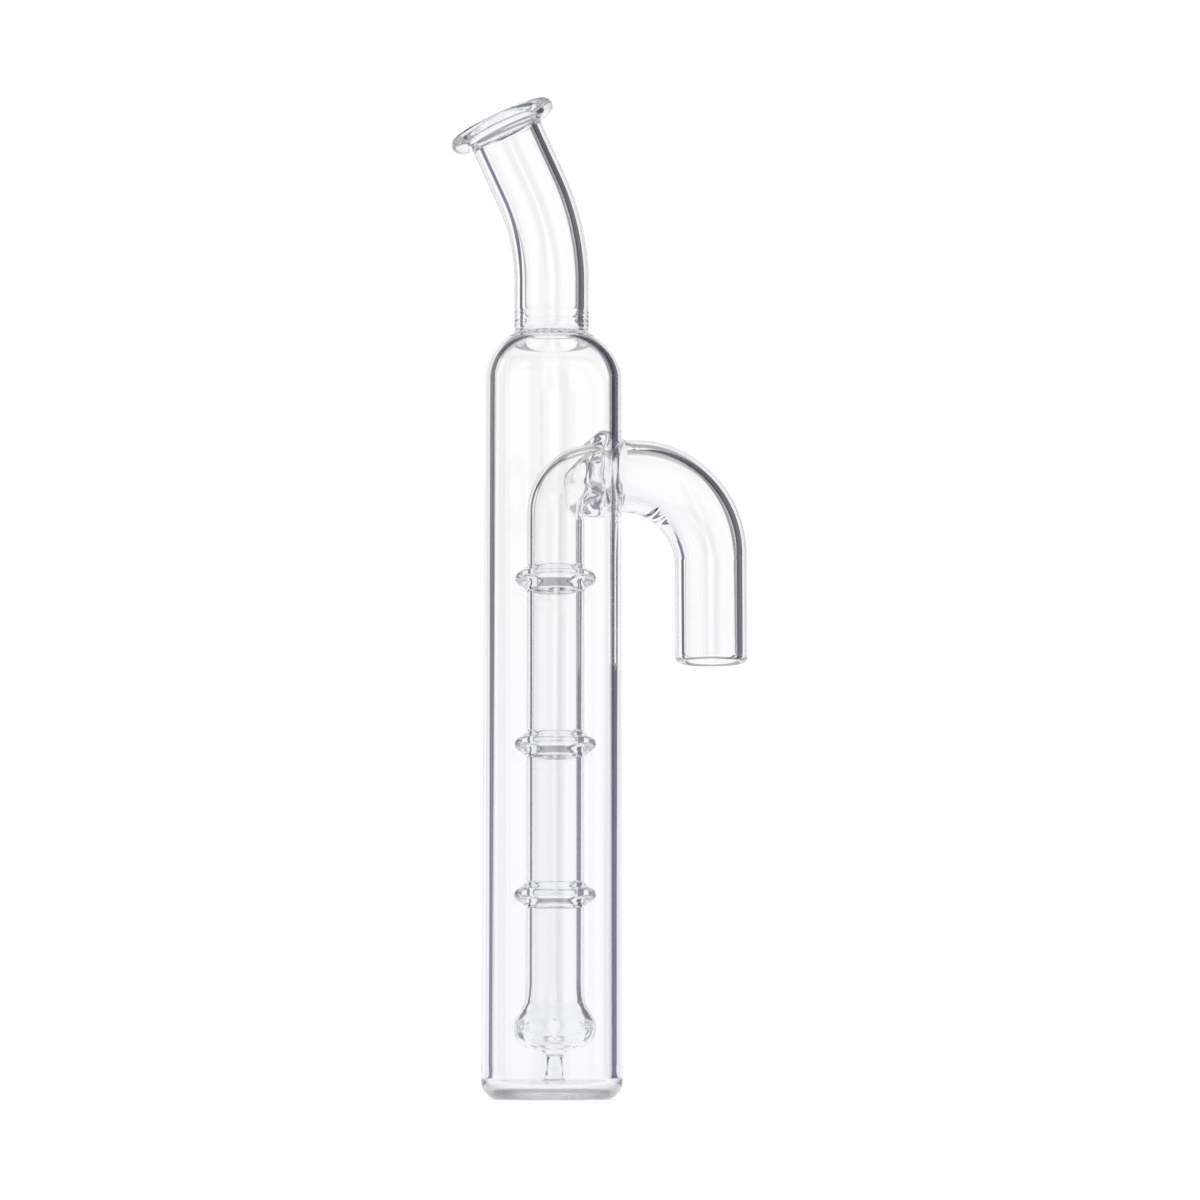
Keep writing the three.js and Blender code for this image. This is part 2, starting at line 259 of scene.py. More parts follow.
def glass(name, tint, bump, scale, roughness=0.0):
    """Clear glass with a faint hand-worked waviness: bump in metres, scale in waves per metre."""
    m = bpy.data.materials.new(name)
    m.use_nodes = True
    nodes, links = m.node_tree.nodes, m.node_tree.links
    shader = nodes["Principled BSDF"]
    shader.inputs["Base Color"].default_value = (*tint, 1)
    shader.inputs["Roughness"].default_value = roughness
    shader.inputs["IOR"].default_value = GLASS_IOR
    shader.inputs["Transmission Weight"].default_value = 1.0
    noise = nodes.new("ShaderNodeTexNoise")
    noise.inputs["Scale"].default_value = scale
    noise.inputs["Detail"].default_value = 1.5
    coords = nodes.new("ShaderNodeTexCoord")
    links.new(coords.outputs["Object"], noise.inputs["Vector"])
    lift = nodes.new("ShaderNodeBump")
    lift.inputs["Strength"].default_value = 1.0
    lift.inputs["Distance"].default_value = bump
    links.new(noise.outputs["Fac"], lift.inputs["Height"])
    links.new(lift.outputs["Normal"], shader.inputs["Normal"])
    return m


def ground_below(m, height):
    """The foot's underside is ground flat: its glass turns matt towards the bottom."""
    nodes, links = m.node_tree.nodes, m.node_tree.links
    coords = nodes.new("ShaderNodeTexCoord")
    split = nodes.new("ShaderNodeSeparateXYZ")
    links.new(coords.outputs["Object"], split.inputs[0])
    matt = nodes.new("ShaderNodeMapRange")
    matt.inputs["From Min"].default_value = 0.1 * height * MM
    matt.inputs["From Max"].default_value = height * MM
    matt.inputs["To Min"].default_value = 0.34
    matt.inputs["To Max"].default_value = 0.0
    links.new(split.outputs[2], matt.inputs["Value"])
    links.new(matt.outputs[0], nodes["Principled BSDF"].inputs["Roughness"])
    return m


def joint_material():
    """What a fused face shows: nothing, because the glass goes straight on into its neighbour."""
    m = bpy.data.materials.new("fused_joint")
    m.use_nodes = True
    nodes, links = m.node_tree.nodes, m.node_tree.links
    nodes.remove(nodes["Principled BSDF"])
    clear = nodes.new("ShaderNodeBsdfTransparent")
    links.new(clear.outputs[0], nodes["Material Output"].inputs["Surface"])
    return m


JOINT = joint_material()
TUBE_GLASS = glass("tube_glass", (0.995, 0.999, 0.998), 0.00002, 55)
WORKED_GLASS = glass("worked_glass", (0.97, 0.985, 0.982), 0.00006, 170)
LIP_GLASS = glass("lip_glass", (0.985, 0.996, 0.992), 0.00006, 170, 0.1)
SEAL_GLASS = glass("seal_glass", (0.99, 0.997, 0.995), 0.0001, 260, 0.14)
FOOT_GLASS = ground_below(glass("foot_glass", (0.985, 0.995, 0.992), 0.00006, 170), 1.6)
TUBE = [TUBE_GLASS, JOINT]
WORKED = [WORKED_GLASS, JOINT]
LIP = [LIP_GLASS, JOINT]
SEAL = [SEAL_GLASS, JOINT]
FOOT = [FOOT_GLASS, JOINT]


def stand_for(obj, node):
    """Puts a skin in its CAD node's place, on the body that doesn't move."""
    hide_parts(node)
    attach(obj, "root")


# ---------------------------------------------------------------- chamber

AROUND = 192
SLIM = 128

# the port through the chamber wall
COLLAR_WIDE = COLLAR_HI.y  # the outer weld's foot reaches further round the chamber than up it
COLLAR_TALL = (COLLAR_HI.z - COLLAR_LO.z) / 2
SEAL_R = (SEAL_HI.z - SEAL_LO.z) / 2
PATCH_COLUMNS = 60  # of AROUND, centred on the side arm
PATCH_HALF = 11.0
PATCH_ROWS = 30


def patch_border():
    """Border points of the patch as (angle index from the centre, height from the port), anticlockwise."""
    half = PATCH_COLUMNS // 2
    rows = PATCH_ROWS // 2
    step = 2 * math.pi * CHAMBER_R / AROUND
    out = []
    for j in range(-rows, rows):
        out.append((half, j))
    for i in range(half, -half, -1):
        out.append((i, rows))
    for j in range(rows, -rows, -1):
        out.append((-half, j))
    for i in range(-half, half):
        out.append((i, -rows))
    return [(i * step, j * PATCH_HALF / rows) for i, j in out]


BORDER = patch_border()
PORT_ANGLES = [math.atan2(v, u) for u, v in BORDER]


def collar_foot(a):
    return COLLAR_TALL + (COLLAR_WIDE - COLLAR_TALL) * math.cos(a) ** 2


def seal_foot(a):
    """The inner weld was pushed about by hand: it reaches furthest low on the far side."""
    low_far = bulge(a, -0.75, 0.45)
    return SEAL_R + 0.25 * math.cos(a) + 0.9 * low_far + 0.12 * math.sin(5 * a) + 0.08 * math.sin(9 * a + 1)


def chamber_tube():
    """The chamber's wall. Next to the side port its grid gives way to rings that run in to the hole."""
    low, high = TUBE_LO.z - GAP, TUBE_HI.z + GAP
    rows = PATCH_ROWS
    below = [low + (PORT_Z - PATCH_HALF - low) * i / 60 for i in range(60)]
    middle = [PORT_Z - PATCH_HALF + 2 * PATCH_HALF * i / rows for i in range(rows + 1)]
    above = [PORT_Z + PATCH_HALF + (high - PORT_Z - PATCH_HALF) * i / 6 for i in range(1, 7)]
    heights = below + middle + above
    half = PATCH_COLUMNS // 2
    first_row = len(below)
    verts, normals, faces, slots = [], [], [], []

    def point(radius, angle, z, side):
        verts.append(Vector((radius * math.cos(angle), radius * math.sin(angle), z)))
        normals.append(Vector((side * math.cos(angle), side * math.sin(angle), 0)))
        return len(verts) - 1

    def quad(a, b, c, d, side, slot=0):
        faces.append((a, b, c, d) if side > 0 else (d, c, b, a))
        slots.append(slot)

    grids = {}
    hole_rings = {}
    for side, radius, hole in ((1, CHAMBER_R, collar_foot), (-1, CHAMBER_BORE, seal_foot)):
        grid = {}
        for k, z in enumerate(heights):
            for i in range(-half, AROUND - half):
                inside = -half < i < half and first_row < k < first_row + rows
                if not inside:
                    grid[i % AROUND, k] = point(radius, 2 * math.pi * i / AROUND, z, side)
        for k in range(len(heights) - 1):
            for i in range(-half, AROUND - half):
                if -half <= i < half and first_row <= k < first_row + rows:
                    continue
                a, b = i % AROUND, (i + 1) % AROUND
                quad(grid[a, k], grid[b, k], grid[b, k + 1], grid[a, k + 1], side)
        # from the patch's border in to the hole
        step = 2 * math.pi * CHAMBER_R / AROUND
        border = []
        for u, v in BORDER:
            i = round(u / step)
            k = first_row + round((v + PATCH_HALF) / (2 * PATCH_HALF) * rows)
            border.append(grid[i % AROUND, k])
        last = border
        steps = 12
        for s in range(1, steps + 1):
            t = s / steps
            ring = []
            for (u, v), a in zip(BORDER, PORT_ANGLES):
                y, z = hole(a) * math.cos(a), hole(a) * math.sin(a)
                angle = u / CHAMBER_R * (1 - t) + math.asin(y / radius) * t
                ring.append(point(radius, angle, PORT_Z + v * (1 - t) + z * t, side))
            for j in range(len(ring)):
                l = (j + 1) % len(ring)
                quad(last[j], last[l], ring[l], ring[j], side)
            last = ring
        grids[side] = grid
        hole_rings[side] = last
    for k, side in ((0, -1), (len(heights) - 1, 1)):
        for i in range(AROUND):
            l = (i + 1) % AROUND
            quad(grids[1][i, k], grids[1][l, k], grids[-1][l, k], grids[-1][i, k], side, 1)
    outer, inner = hole_rings[1], hole_rings[-1]
    for j in range(len(outer)):
        l = (j + 1) % len(outer)
        quad(outer[j], outer[l], inner[l], inner[j], 1, 1)
    obj = add_mesh("chamber_tube_glass", verts, faces, normals, slots, TUBE)
    stand_for(obj, "chamber_tube")


def chamber_base():
    top = BASE_HI.z + GAP
    hole = BUTTON_HI.x + GAP
    corner, inner_corner, thick = 3.2, 1.6, 2.3
    outer = [(hole, 0.0)] + [(hole + (CHAMBER_R - corner - hole) * i / 6, 0.0) for i in range(1, 6)]
    outer += arc(CHAMBER_R - corner, corner, corner, -90, 0, 16)
    outer += [(CHAMBER_R, corner + (top - corner) * i / 4) for i in range(1, 5)]
    flat_end, wall_start = CHAMBER_BORE - inner_corner, thick + inner_corner
    inner = [(hole + (flat_end - hole) * i / 6, thick) for i in range(6)]
    inner += arc(flat_end, wall_start, inner_corner, -90, 0, 12)
    inner += [(CHAMBER_BORE, wall_start + (top - wall_start) * i / 4) for i in range(1, 5)]
    obj = sleeve("chamber_base_glass", upright(0), outer, inner, AROUND, FOOT)
    stand_for(obj, "chamber_base")


def base_button():
    r = BUTTON_HI.x + GAP
    outline = [(0.0, 0.12)] + curve([(0.6, 0.1), (1.8, 0.3), (2.9, 0.22), (3.5, 0.03), (r, 0.0)], 6)
    rim = len(outline) - 1
    top = [(0.5 * i, 2.45) for i in range(5)] + curve([(2.3, 2.45), (3.0, 2.34), (r, 2.3)], 6)
    caps = {rim} | {rim + len(top) - i for i in range(1, 5)}
    outline += top[::-1]
    obj = solid_of_revolution("base_button_glass", upright(0), outline, caps, 96, FOOT)
    stand_for(obj, "base_button")


def shoulder_side(chamber, neck, sweep, fillet, steps):
    z0 = SHOULDER_LO.z
    sweep_r, fillet_r = chamber - sweep, neck + fillet
    tilt = math.degrees(math.acos((fillet_r - sweep_r) / (sweep + fillet)))
    fillet_z = z0 + (sweep + fillet) * math.sin(math.radians(tilt))
    out = [(chamber, z0 - GAP)] + arc(sweep_r, z0, sweep, 0, tilt, steps)
    out += arc(fillet_r, fillet_z, fillet, 180 + tilt, 180, 10)[1:]
    return out


def chamber_shoulder():
    top = SHOULDER_HI.z + GAP
    outer = shoulder_side(CHAMBER_R, NECK_R, 9.5, 2.0, 28)
    inner = shoulder_side(CHAMBER_BORE, NECK_BORE, 8.0, 1.6, 28)
    outer += [(NECK_R, top)]
    inner += [(NECK_BORE, top)]
    z0 = SHOULDER_LO.z
    place = lambda d: (NECK_X * smooth((d - z0) / (top - z0)), d, 0.0)
    obj = sleeve("chamber_shoulder_glass", place, outer, inner, AROUND, TUBE)
    stand_for(obj, "chamber_shoulder")


# ---------------------------------------------------------------- neck

NECK_BEND_Z = 153.5
NECK_BEND_R = 40.0
NECK_TURN = math.radians(-27)
NECK_LENGTH = 34.6
NECK_Z = NECK_LO.z
NECK_PLACE = route(NECK_X, NECK_Z, 0.0, NECK_BEND_Z - NECK_Z, NECK_BEND_R, NECK_TURN)


def neck_weld_ring():
    low, high = WELD_LO.z - GAP, WELD_HI.z + GAP
    length = high - low
    outer, inner = [], []
    for i in range(49):
        d = length * i / 48
        grooves = 0.09 * bulge(d, 0.75, 0.2) + 0.06 * bulge(d, 2.5, 0.2)
        outer.append((NECK_R - grooves, low + d))
        inner.append((NECK_BORE - 0.08 * math.sin(math.pi * d / length) ** 2, low + d))
    obj = sleeve("neck_weld_glass", upright(NECK_X), outer, inner, SLIM, WORKED)
    stand_for(obj, "neck_weld_ring")


def neck_tube():
    outer = wall(NECK_R, -GAP, NECK_LENGTH + GAP, 0.6)
    inner = wall(NECK_BORE, -GAP, NECK_LENGTH + GAP, 0.6)
    obj = sleeve("neck_tube_glass", NECK_PLACE, outer, inner, SLIM, TUBE)
    stand_for(obj, "neck_tube")


def neck_lip():
    start = NECK_LENGTH + GAP
    bead, lip_r, height = 1.6, 10.5, 3.9
    bead_z = NECK_LENGTH + 2 * GAP + height - bead
    bead_r = lip_r - bead
    under_bead = (NECK_R + 0.9, bead_z - bead + 0.02)
    outer = curve([(NECK_R, start), (NECK_R + 0.1, start + 0.35), under_bead], 6)[:-1]
    outer += arc(bead_r, bead_z, bead, -90, 80, 24)
    flare = [(NECK_BORE, start), (NECK_BORE + 0.5, start + 0.5), (6.6, start + 2.3)]
    inner = curve(flare + [(7.6, bead_z + 1.2), (8.3, bead_z + 1.5)], 8)
    obj = sleeve("neck_lip_glass", NECK_PLACE, outer, inner, SLIM, LIP, high_cap=False)
    stand_for(obj, "neck_lip")


# ---------------------------------------------------------------- side arm

ARM_START = ARM_LO.x - GAP
ARM_BEND_X = 17.4
ARM_BEND_R = 15.35
ARM_LEAD = ARM_BEND_X - ARM_START
ARM_PLACE = route(ARM_START, PORT_Z, math.pi / 2, ARM_LEAD, ARM_BEND_R, math.pi / 2)
ARM_BEND_END = ARM_LEAD + ARM_BEND_R * math.pi / 2
ARM_LENGTH = ARM_BEND_END + PORT_Z - ARM_BEND_R - ARM_LO.z


def arm_swell(a, distance):
    return ARM_SWELL * math.sin(math.pi * min(1.0, distance / ARM_BEND_END))


def arm_bore_swell(a, distance):
    """The bore also has two small wrinkles on the inside of the bend."""
    turned = math.atan2(math.sin(a), math.cos(a))
    side = bulge(turned, 0.0, 0.75)
    wrinkles = bulge(distance, 8.2, 1.3) + 0.6 * bulge(distance, 11.8, 1.1)
    return arm_swell(a, distance) - 0.4 * side * wrinkles


def side_arm():
    edge = 1.0
    outer = wall(ARM_R, 0, ARM_LENGTH - edge, 0.35)
    outer += arc((ARM_R + ARM_BORE) / 2, ARM_LENGTH - edge, edge, 0, 90, 10)[1:]
    inner = wall(ARM_BORE, 0, ARM_LENGTH - edge, 0.35)
    inner += arc((ARM_R + ARM_BORE) / 2, ARM_LENGTH - edge, edge, 180, 90, 10)[1:-1]
    obj = sleeve("side_arm_glass", ARM_PLACE, outer, inner, SLIM, TUBE, False, arm_swell, arm_bore_swell)
    stand_for(obj, "side_arm")


def port_ring(radius, x):
    """A ring about the side port's axis, in the directions of the patch."""
    return [Vector((x, radius * math.cos(a), PORT_Z + radius * math.sin(a))) for a in PORT_ANGLES]


def on_wall(foot, chamber):
    """A closed line on a chamber face, at a distance from the port's axis that depends on the direction."""
    out = []
    for a in PORT_ANGLES:
        y, z = foot(a) * math.cos(a), foot(a) * math.sin(a)
        out.append(Vector((math.sqrt(chamber * chamber - y * y), y, PORT_Z + z)))
    return out


PORT_SEAM_X = 12.8  # where the outer and the inner weld meet, on the bore


def arm_weld_collar():
    """Outer weld: a fillet from the hole's edge on the chamber's outer face up to the arm."""
    rings = []
    steps = 22
    foot = on_wall(collar_foot, CHAMBER_R)
    for s in range(steps + 1):
        g = math.radians(90 * s / steps)
        ring = []
        for a, f in zip(PORT_ANGLES, foot):
            radius = ARM_R + (collar_foot(a) - ARM_R) * (1 - math.sin(g))
            x = f.x + (ARM_START - f.x) * (1 - math.cos(g))
            ring.append(Vector((x, radius * math.cos(a), PORT_Z + radius * math.sin(a))))
        rings.append(ring)
    caps = {len(rings) - 1}
    for s in range(9):
        rings.append(port_ring(ARM_BORE, ARM_START + (PORT_SEAM_X - ARM_START) * s / 8))
    caps.add(len(rings) - 1)
    obj = wrapped("arm_weld_glass", rings, caps, WORKED)
    stand_for(obj, "arm_weld_collar")


def ring_seal():
    """Inner weld: a thick flange over the chamber's inner face that also fills the port round the bore."""
    start = ELBOW_HI.x + GAP
    flange = 1.45  # how far its face stands off the chamber's inner face
    edge = 0.9
    rings = [on_wall(collar_foot, CHAMBER_R)]
    caps = {0}
    steps = 30
    for s in range(steps + 1):
        t = 1 - s / steps
        ring = []
        for a in PORT_ANGLES:
            root = CHAMBER_BORE - math.hypot(start, STEM_R * math.cos(a))
            lumps = 0.12 * math.sin(3 * a + 5 * t) + 0.1 * math.sin(7 * a - 6 * t)
            depth = root + (flange + lumps - root) * smooth(t / 0.45)
            reach = seal_foot(a) - edge
            if t < 0.6:
                rho = STEM_R + (reach - STEM_R) * t / 0.6
            else:
                g = math.pi / 2 * (t - 0.6) / 0.4
                rho = reach + edge * math.sin(g)
                depth *= math.cos(g)
            y, z = rho * math.cos(a), rho * math.sin(a)
            across = max(0.0, CHAMBER_BORE - depth)
            ring.append(Vector((math.sqrt(max(0.0, across * across - y * y)), y, PORT_Z + z)))
        rings.append(ring)
    caps.add(len(rings) - 1)
    for s in range(9):
        t = s / 8
        bore = STEM_BORE + (ARM_BORE - STEM_BORE) * smooth(t)
        rings.append(port_ring(bore, start + (PORT_SEAM_X - start) * t))
    caps.add(len(rings) - 1)
    obj = wrapped("ring_seal_glass", rings, caps, SEAL)
    stand_for(obj, "ring_seal")


# ---------------------------------------------------------------- downstem


def downstem_elbow():
    low = ELBOW_LO.z - GAP
    radius = ELBOW_HI.x - STEM_X
    lead = PORT_Z - radius - low
    place = route(STEM_X, low, 0.0, lead, radius, math.pi / 2)
    length = lead + radius * math.pi / 2 + GAP
    outer, inner = wall(STEM_R, 0, length, 0.4), wall(STEM_BORE, 0, length, 0.4)
    obj = sleeve("downstem_elbow_glass", place, outer, inner, SLIM, TUBE)
    stand_for(obj, "downstem_elbow")


def stem_ring(node):
    lo, hi = span(node)
    mid, half = (lo.z + hi.z) / 2, (hi.z - lo.z) / 2 + GAP
    reach = hi.x - STEM_X
    edge = 1.35
    side = curve([(STEM_R, -half), (STEM_R + 0.25, -0.86 * half), (STEM_R + 0.9, -0.6 * half)], 6)[:-1]
    top = [(r, -z) for r, z in reversed(side)]
    outline = side + arc(reach - edge, 0, edge, -62, 62, 16) + top
    outer = [(r, mid + z) for r, z in outline]
    inner = wall(STEM_BORE, mid - half, mid + half, 0.5)
    obj = sleeve(node + "_glass", upright(STEM_X), outer, inner, SLIM, WORKED)
    stand_for(obj, node)


def stem_section(node):
    lo, hi = span(node)
    low, high = lo.z - GAP, hi.z + GAP
    outer, inner = wall(STEM_R, low, high, 1.5), wall(STEM_BORE, low, high, 1.5)
    obj = sleeve(node + "_glass", upright(STEM_X), outer, inner, SLIM, TUBE)
    stand_for(obj, node)


# the bulb and the flare that the downstem opens into, as (radius, height) of the outside and the inside
BULB_OUTSIDE = curve(
    [(1.6, 9.0), (3.2, 9.02), (4.96, 9.3), (5.97, 9.8), (7.11, 10.75), (7.61, 11.9), (7.75, 13.2)]
    + [(7.26, 14.75), (6.3, 16.3), (5.78, 17.3), (5.54, 18.4), (STEM_R, 20.5), (STEM_R, 22.0)],
    10,
)
BULB_INSIDE = curve(
    [(1.0, 10.25), (3.0, 10.3), (4.6, 10.6), (5.5, 11.1), (6.2, 11.9), (6.5, 13.1)]
    + [(6.05, 14.4), (5.25, 15.75), (4.75, 16.9), (4.4, 18.0), (STEM_BORE, 20.5), (STEM_BORE, 22.0)],
    10,
)


def split(outline, height):
    """Cuts an outline at a height into the part below and the part above."""
    k = max(i for i, (_, z) in enumerate(outline) if z < height)
    (r0, z0), (r1, z1) = outline[k], outline[k + 1]
    seam = (r0 + (r1 - r0) * (height - z0) / (z1 - z0), height)
    return outline[: k + 1] + [seam], [seam] + outline[k + 1 :]


def stem_section_lower():
    lo, hi = span("stem_section_lower")
    low, high = lo.z - GAP, hi.z + GAP
    outer = split(BULB_OUTSIDE, low)[1] + wall(STEM_R, 23, high, 1.5)
    inner = split(BULB_INSIDE, low)[1] + wall(STEM_BORE, 23, high, 1.5)
    obj = sleeve("stem_section_lower_glass", upright(STEM_X), outer, inner, SLIM, TUBE)
    stand_for(obj, "stem_section_lower")


BULB_HOLES = 6  # one faces the main view


def hole_cutter(turned):
    """A drop-shaped plug with its point down, along one direction out from the downstem's axis."""
    round_r, drop, mid = 1.1, 2.1, 13.2
    outline = arc(0, 0, round_r, -27, 207, 20)
    outline += [(-0.25, -drop + 0.1), (0.0, -drop), (0.25, -drop + 0.1)]
    c, s = math.cos(turned), math.sin(turned)
    verts = []
    for depth in (3.5, 9.5):
        for u, v in outline:
            verts.append(Vector((STEM_X + depth * c - u * s, depth * s + u * c, mid + v)) * MM)
    n = len(outline)
    faces = [tuple(range(n))[::-1], tuple(range(n, 2 * n))]
    faces += [(i, (i + 1) % n, n + (i + 1) % n, n + i) for i in range(n)]
    mesh = bpy.data.meshes.new("hole_cutter")
    mesh.from_pydata(verts, [], faces)
    mesh.validate()
    obj = bpy.data.objects.new("hole_cutter", mesh)
    bpy.context.scene.collection.objects.link(obj)
    return obj


def diffuser_bulb():
    top = BULB_HI.z + GAP
    outer = [(0.0, BULB_LO.z)] + split(BULB_OUTSIDE, top)[0]
    inner = [(0.0, BULB_INSIDE[0][1])] + split(BULB_INSIDE, top)[0]
    outline = outer + inner[::-1]
    caps = {len(outer) - 1}
    obj = solid_of_revolution("diffuser_bulb_glass", upright(STEM_X), outline, caps, SLIM, WORKED)
    for i in range(BULB_HOLES):
        cutter = hole_cutter(math.radians(-90 - VIEW_TURN + 360 / BULB_HOLES * i))
        cut = obj.modifiers.new("hole", "BOOLEAN")
        cut.object = cutter
        cut.solver = "EXACT"
        made = bpy.data.meshes.new_from_object(obj.evaluated_get(bpy.context.evaluated_depsgraph_get()))
        obj.modifiers.clear()
        obj.data = made
        bpy.data.objects.remove(cutter)
    obj.data.name = "diffuser_bulb_glass"
    obj.data.set_sharp_from_angle(angle=math.radians(38))
    stand_for(obj, "diffuser_bulb")


def support_stub():
    low, high = STUB_LO.z - GAP, STUB_HI.z + GAP
    foot = [(2.3, low), (1.85, low + 0.9), (1.7, low + 2.6), (1.5, low + 4.9)]
    side = curve(foot + [(1.8, high - 0.6), (2.6, high)], 8)
    outline = [(0.0, low)] + side + [(0.0, high)]
    obj = solid_of_revolution("support_stub_glass", upright(STEM_X), outline, {0, len(side)}, 64, WORKED)
    stand_for(obj, "support_stub")


chamber_tube()
chamber_base()
base_button()
chamber_shoulder()
neck_weld_ring()
neck_tube()
neck_lip()
side_arm()
arm_weld_collar()
ring_seal()
downstem_elbow()
for node in ("stem_ring_lower", "stem_ring_middle", "stem_ring_upper"):
    stem_ring(node)
stem_section("stem_section_middle")
stem_section("stem_section_upper")
stem_section_lower()
diffuser_bulb()
support_stub()


# ---------------------------------------------------------------- floor, light, camera

turn = math.radians(VIEW_TURN)
ahead = Vector((math.sin(turn), math.cos(turn), 0))
right = Vector((math.cos(turn), -math.sin(turn), 0))

# The studio is pale, with upright dark navy panels that draw the dark line along every tube. They are
# given in degrees round from the main view's direction, + to the right, and leave straight ahead pale.
PANELS = ((-165, -135), (-95, -84), (-52, -28), (20, 66), (150, 172))
PANEL_EDGE = 5  # degrees over which a panel fades in
LOW_INSET = math.radians(9)  # low down the panels start further round, so the lines are thinner there
OVERHEAD_SHARE = 0.62  # how dark the band overhead is, of a panel's darkness
DARK_PANEL = (0.05, 0.055, 0.08)
LOW_PANEL = (0.13, 0.145, 0.22)
PALE_HIGH = (1.0, 1.0, 0.985)
PALE_LOW = (0.955, 0.965, 1.0)
FLOOR_R = 0.5
FLOOR_Z = -0.00005


class Shading:
    """Short names for the shader nodes that the floor and the world share."""

    def __init__(self, tree):
        self.nodes, self.links = tree.nodes, tree.links

    def put(self, socket, value):
        if isinstance(value, tuple):
            socket.default_value = (*value, 1)
        elif isinstance(value, (int, float)):
            socket.default_value = value
        else:
            self.links.new(value, socket)

    def math(self, operation, a, b=None):
        node = self.nodes.new("ShaderNodeMath")
        node.operation = operation
        self.put(node.inputs[0], a)
        if b is not None:
            self.put(node.inputs[1], b)
        return node.outputs[0]

    def ease(self, value, start, stop, low=0.0, high=1.0):
        node = self.nodes.new("ShaderNodeMapRange")
        node.interpolation_type = "SMOOTHSTEP"
        keys = ("Value", "From Min", "From Max", "To Min", "To Max")
        for key, setting in zip(keys, (value, start, stop, low, high)):
            self.put(node.inputs[key], setting)
        return node.outputs[0]

    def blend(self, share, a, b):
        node = self.nodes.new("ShaderNodeMix")
        node.data_type = "RGBA"
        self.put(node.inputs["Factor"], share)
        self.put(node.inputs[6], a)
        self.put(node.inputs[7], b)
        return node.outputs[2]

    def around(self, coordinate):
        """x, y, z of a coordinate with +Y along the main view's direction, and the angle round from it."""
        coords = self.nodes.new("ShaderNodeTexCoord")
        turned = self.nodes.new("ShaderNodeVectorRotate")
        turned.rotation_type = "Z_AXIS"
        turned.inputs["Angle"].default_value = turn
        split = self.nodes.new("ShaderNodeSeparateXYZ")
        self.links.new(coords.outputs[coordinate], turned.inputs["Vector"])
        self.links.new(turned.outputs[0], split.inputs[0])
        x, y, z = split.outputs
        return x, y, z, self.math("ARCTAN2", x, y)

    def panels(self, azimuth, inset):
        """How much of a panel lies in a direction. inset moves the panels away from straight ahead."""
        azimuth = self.math("SUBTRACT", azimuth, self.math("MULTIPLY", self.math("SIGN", azimuth), inset))
        share = 0.0
        for start, stop in PANELS:
            start, stop, soft = math.radians(start), math.radians(stop), math.radians(PANEL_EDGE)
            begun = self.ease(azimuth, start, start + soft)
            not_over = self.ease(azimuth, stop, stop - soft)
            share = self.math("MAXIMUM", share, self.math("MULTIPLY", begun, not_over))
        return share

    def unless_camera(self, others, camera, output):
        path = self.nodes.new("ShaderNodeLightPath")
        mix = self.nodes.new("ShaderNodeMixShader")
        self.links.new(path.outputs["Is Camera Ray"], mix.inputs[0])
        self.links.new(others.outputs[0], mix.inputs[1])
        self.links.new(camera.outputs[0], mix.inputs[2])
        self.links.new(mix.outputs[0], output.inputs["Surface"])


def floor():
    """A white floor. Through the glass it glows pale and carries the studio's dark panels on as painted shade,
    so no horizon shows in it.
    """
    mesh = bpy.data.meshes.new("floor")
    n = 96
    rim = [(x, y, FLOOR_Z) for x, y in arc(0, 0, FLOOR_R, 0, 360, n)[:-1]]
    mesh.from_pydata([(0, 0, FLOOR_Z)] + rim, [], [(0, i + 1, (i + 1) % n + 1) for i in range(n)])
    m = bpy.data.materials.new("floor_white")
    m.use_nodes = True
    s = Shading(m.node_tree)
    seen = s.nodes["Principled BSDF"]
    seen.inputs["Base Color"].default_value = (0.5, 0.5, 0.5, 1)
    seen.inputs["Roughness"].default_value = 0.9
    seen.inputs["Specular IOR Level"].default_value = 0.0
    seen.inputs["Emission Color"].default_value = (1, 1, 1, 1)
    seen.inputs["Emission Strength"].default_value = 0.68
    x, y, _, azimuth = s.around("Object")
    reach = s.math("SQRT", s.math("ADD", s.math("MULTIPLY", x, x), s.math("MULTIPLY", y, y)))
    # Painted shade: what the glass sees of the floor is a pale glow with the studio's dark panels painted on,
    # fading in from 2 to 5 cm out.
    dark = s.math("MULTIPLY", s.panels(azimuth, LOW_INSET), s.ease(reach, 0.02, 0.05))
    through = s.nodes.new("ShaderNodeEmission")
    s.put(through.inputs["Color"], s.blend(dark, PALE_LOW, LOW_PANEL))
    s.unless_camera(through, seen, s.nodes["Material Output"])
    mesh.materials.append(m)
    obj = bpy.data.objects.new("floor", mesh)
    bpy.context.scene.collection.objects.link(obj)


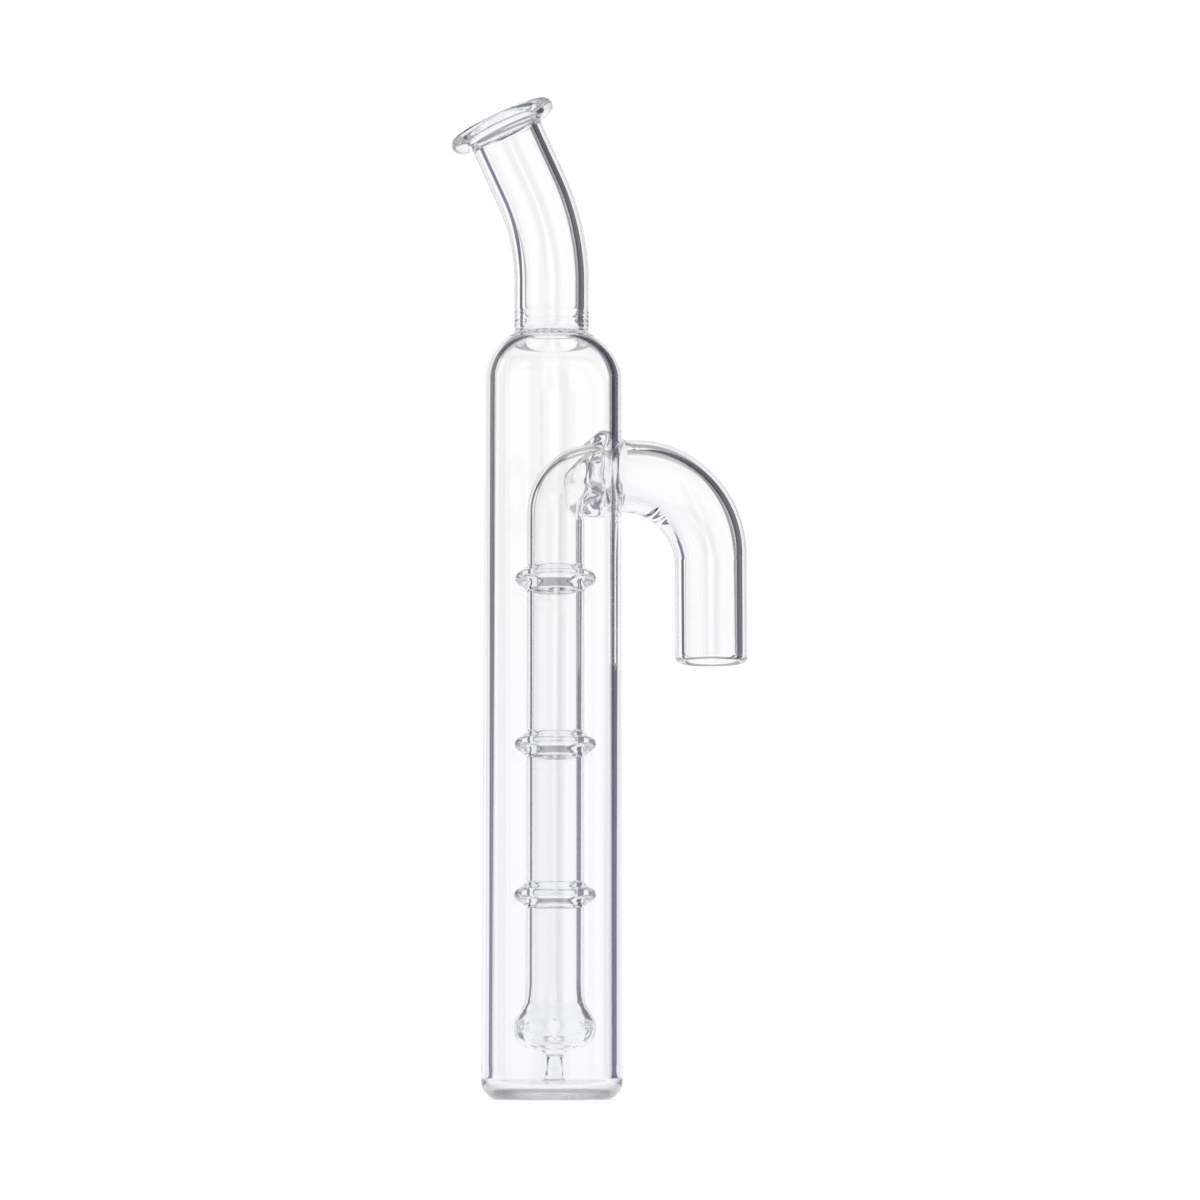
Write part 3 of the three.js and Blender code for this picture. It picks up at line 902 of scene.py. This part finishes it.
def world():
    w = bpy.data.worlds.new("studio")
    bpy.context.scene.world = w
    w.use_nodes = True
    s = Shading(w.node_tree)
    s.nodes.clear()
    _, _, z, azimuth = s.around("Generated")  # z is the sine of the height above the horizon
    panels = s.panels(azimuth, s.ease(z, 0.0, 0.24, LOW_INSET, 0.0))
    overhead = s.math("MULTIPLY", s.ease(z, 0.42, 0.52), s.ease(z, 0.85, 0.75))
    dark = s.math("MAXIMUM", panels, s.math("MULTIPLY", overhead, OVERHEAD_SHARE))
    pale = s.blend(s.ease(z, 0.0, 0.25), PALE_LOW, PALE_HIGH)
    colour = s.blend(dark, pale, s.blend(s.ease(z, 0.0, 0.2), LOW_PANEL, DARK_PANEL))
    lit = s.nodes.new("ShaderNodeBackground")
    s.put(lit.inputs["Color"], colour)
    seen = s.nodes.new("ShaderNodeBackground")
    seen.inputs["Color"].default_value = (1, 1, 1, 1)
    seen.inputs["Strength"].default_value = 1.05
    s.unless_camera(lit, seen, s.nodes.new("ShaderNodeOutputWorld"))


def camera():
    """The photo's viewing angle: a little from the neck's side, low down and pitched up."""
    data = bpy.data.cameras.new("camera")
    data.lens = 90
    data.sensor_width = 36
    data.clip_start, data.clip_end = 0.01, 20
    cam = bpy.data.objects.new("camera", data)
    bpy.context.scene.collection.objects.link(cam)
    bpy.context.scene.camera = cam
    away, aside, height = 0.557, 0.0088, 0.010
    cam.location = -away * ahead + aside * right + Vector((0, 0, height))
    pitch = math.radians(8.42)
    look = ahead * math.cos(pitch) + Vector((0, 0, math.sin(pitch)))
    cam.rotation_mode = "QUATERNION"
    cam.rotation_quaternion = look.to_track_quat("-Z", "Y")


def softbox():
    """A soft lamp overhead. It lights the floor and lays a faint shadow there, but isn't seen in the glass."""
    data = bpy.data.lights.new("softbox", "AREA")
    data.shape = "DISK"
    data.size = 0.6
    data.energy = 6
    lamp = bpy.data.objects.new("softbox", data)
    lamp.location = Vector((0, 0, 0.9)) - ahead * 0.2
    lamp.rotation_mode = "QUATERNION"
    lamp.rotation_quaternion = (-lamp.location).to_track_quat("-Z", "Y")
    bpy.context.scene.collection.objects.link(lamp)
    lamp.visible_glossy = False
    lamp.visible_transmission = False


floor()
world()
camera()
softbox()

scene = bpy.context.scene
scene.view_settings.view_transform = "Standard"
scene.cycles.max_bounces = 40
scene.cycles.transmission_bounces = 40
scene.cycles.glossy_bounces = 40
scene.cycles.transparent_max_bounces = 48
